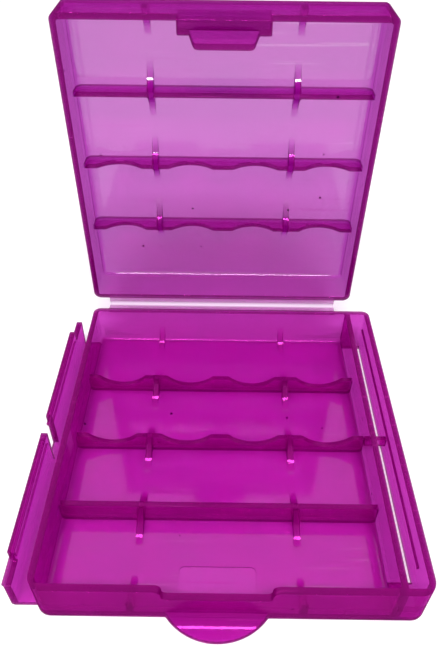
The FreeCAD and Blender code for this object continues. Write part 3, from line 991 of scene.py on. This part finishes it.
class CASE_OT_lid(bpy.types.Operator):
    """Model the lid with its ribs and latch tongue"""

    bl_idname = "case.lid"
    bl_label = "Lid"

    def execute(self, context):
        sizes = context.scene.case_sizes
        half = halves(sizes)[1]
        skin = lid_shell(half, sizes)
        with_ribs(skin, half, sizes)
        fuse(skin, latch_tongue(half, sizes))
        turn_up(skin)
        colours = context.scene.case_colours
        # Box of the painted white highlight: the lid's plate and the fillet in front of it
        plate = HINGE.y + HINGE.z - half.floor
        up = HINGE.z - HINGE.y + LID_HIGHLIGHT_SHIFT
        low = Vector((half.inner_low.x, plate - LID_HIGHLIGHT_RISE, half.inner_low.y + up))
        high = Vector((half.inner_high.x, plate + LID_HIGHLIGHT_DEPTH, half.inner_high.y + up))
        # The lid's loss is set apart from the tray's as painted shading
        finish(skin, "lid_moulding", moulded_polypropylene(
            "moulded_translucent_polypropylene_lid", colours, colours.lid_loss_with_painted_shading,
            highlit=(low, high, 1.0)))
        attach(skin, "lid")
        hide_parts(*[node for node in LID_NODES if node != "lid_hinge_leaf"])
        return {"FINISHED"}


class CASE_OT_hinge(bpy.types.Operator):
    """Model the living hinge, which bends between the tray and the lid"""

    bl_idname = "case.hinge"
    bl_label = "Living hinge"

    def execute(self, context):
        sizes = context.scene.case_sizes
        film = hinge_film(sizes)
        colours = context.scene.case_colours
        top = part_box("base_hinge_leaf")[1].z
        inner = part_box("lid_hinge_leaf")[0].y
        fold = Vector((0, inner - sizes.film_bend / 2, top + sizes.film_bend / 2))
        # The film takes the lid's loss with its painted shading
        finish(film, "hinge_film", moulded_polypropylene(
            "flexed_polypropylene_film", colours, colours.lid_loss_with_painted_shading,
            folded=(fold, sizes.film_root_length)))
        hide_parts("base_hinge_leaf", "lid_hinge_leaf")
        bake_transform(film)
        return {"FINISHED"}


class CASE_OT_stage(bpy.types.Operator):
    """Set up the floor, the soft light and the camera"""

    bl_idname = "case.stage"
    bl_label = "Stage"

    def execute(self, context):
        stage = context.scene.case_stage
        bpy.ops.object.select_all(action="DESELECT")
        bpy.ops.mesh.primitive_plane_add(size=stage.paper_size, location=(0, 0, -stage.paper_drop))
        floor = apply_place(bpy.context.object)
        floor.name = "floor"
        floor.data.materials.append(matt_paper(
            context.scene.case_colours, stage.backdrop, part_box("base_tray"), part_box("finger_lip")))
        context.scene.world = soft_room(stage.room)

        bpy.ops.object.light_add(type="AREA")
        lamp = bpy.context.object
        lamp.name = "window"
        lamp.data.shape = "RECTANGLE"
        lamp.data.size, lamp.data.size_y = stage.window_size
        lamp.data.energy = stage.window
        aim = (-Vector(stage.window_place)).to_track_quat("-Z", "Y").to_matrix().to_4x4()
        lamp.matrix_world = Matrix.Translation(stage.window_place) @ aim

        yaw, pitch, roll = stage.camera_yaw, stage.camera_pitch, stage.camera_roll
        turn = (Matrix.Rotation(yaw, 4, "Z") @ Matrix.Rotation(math.pi / 2 - pitch, 4, "X")
                @ Matrix.Rotation(roll, 4, "Z"))
        bpy.ops.object.camera_add()
        camera = bpy.context.object
        camera.name = "camera"
        camera.matrix_world = Matrix.Translation(stage.camera_place) @ turn
        camera.data.sensor_width = SENSOR_MM
        camera.data.lens = stage.focal_length
        camera.data.shift_x, camera.data.shift_y = stage.shift_x, stage.shift_y
        camera.data.clip_start = MM
        context.scene.camera = camera
        context.scene.view_settings.view_transform = "Standard"
        return {"FINISHED"}


class CASE_PT_panel(bpy.types.Panel):
    """Panel that lists the pieces of the case and their sizes"""

    bl_idname = "CASE_PT_panel"
    bl_label = "Battery storage case"
    bl_space_type = "VIEW_3D"
    bl_region_type = "UI"
    bl_category = "Case"

    def draw(self, context):
        for operator in OPERATORS:
            self.layout.operator(operator.bl_idname)
        for group in (context.scene.case_sizes, context.scene.case_colours, context.scene.case_stage):
            for name in group.bl_rna.properties.keys():
                if name not in ("rna_type", "name"):
                    self.layout.prop(group, name)


OPERATORS = (CASE_OT_tray, CASE_OT_lid, CASE_OT_hinge, CASE_OT_stage)
CLASSES = (CaseSizes, CaseColours, StageSettings, *OPERATORS, CASE_PT_panel)


def register():
    """Register the classes and hang the settings on the scene."""
    for each in CLASSES:
        bpy.utils.register_class(each)
    bpy.types.Scene.case_sizes = PointerProperty(type=CaseSizes)
    bpy.types.Scene.case_colours = PointerProperty(type=CaseColours)
    bpy.types.Scene.case_stage = PointerProperty(type=StageSettings)


def unregister():
    """Take the settings and the classes away again."""
    del bpy.types.Scene.case_stage
    del bpy.types.Scene.case_colours
    del bpy.types.Scene.case_sizes
    for each in reversed(CLASSES):
        bpy.utils.unregister_class(each)


def main():
    """Build the case and its stage."""
    register()
    bpy.ops.case.tray()
    bpy.ops.case.lid()
    bpy.ops.case.hinge()
    bpy.ops.case.stage()


if __name__ == "__main__":
    main()
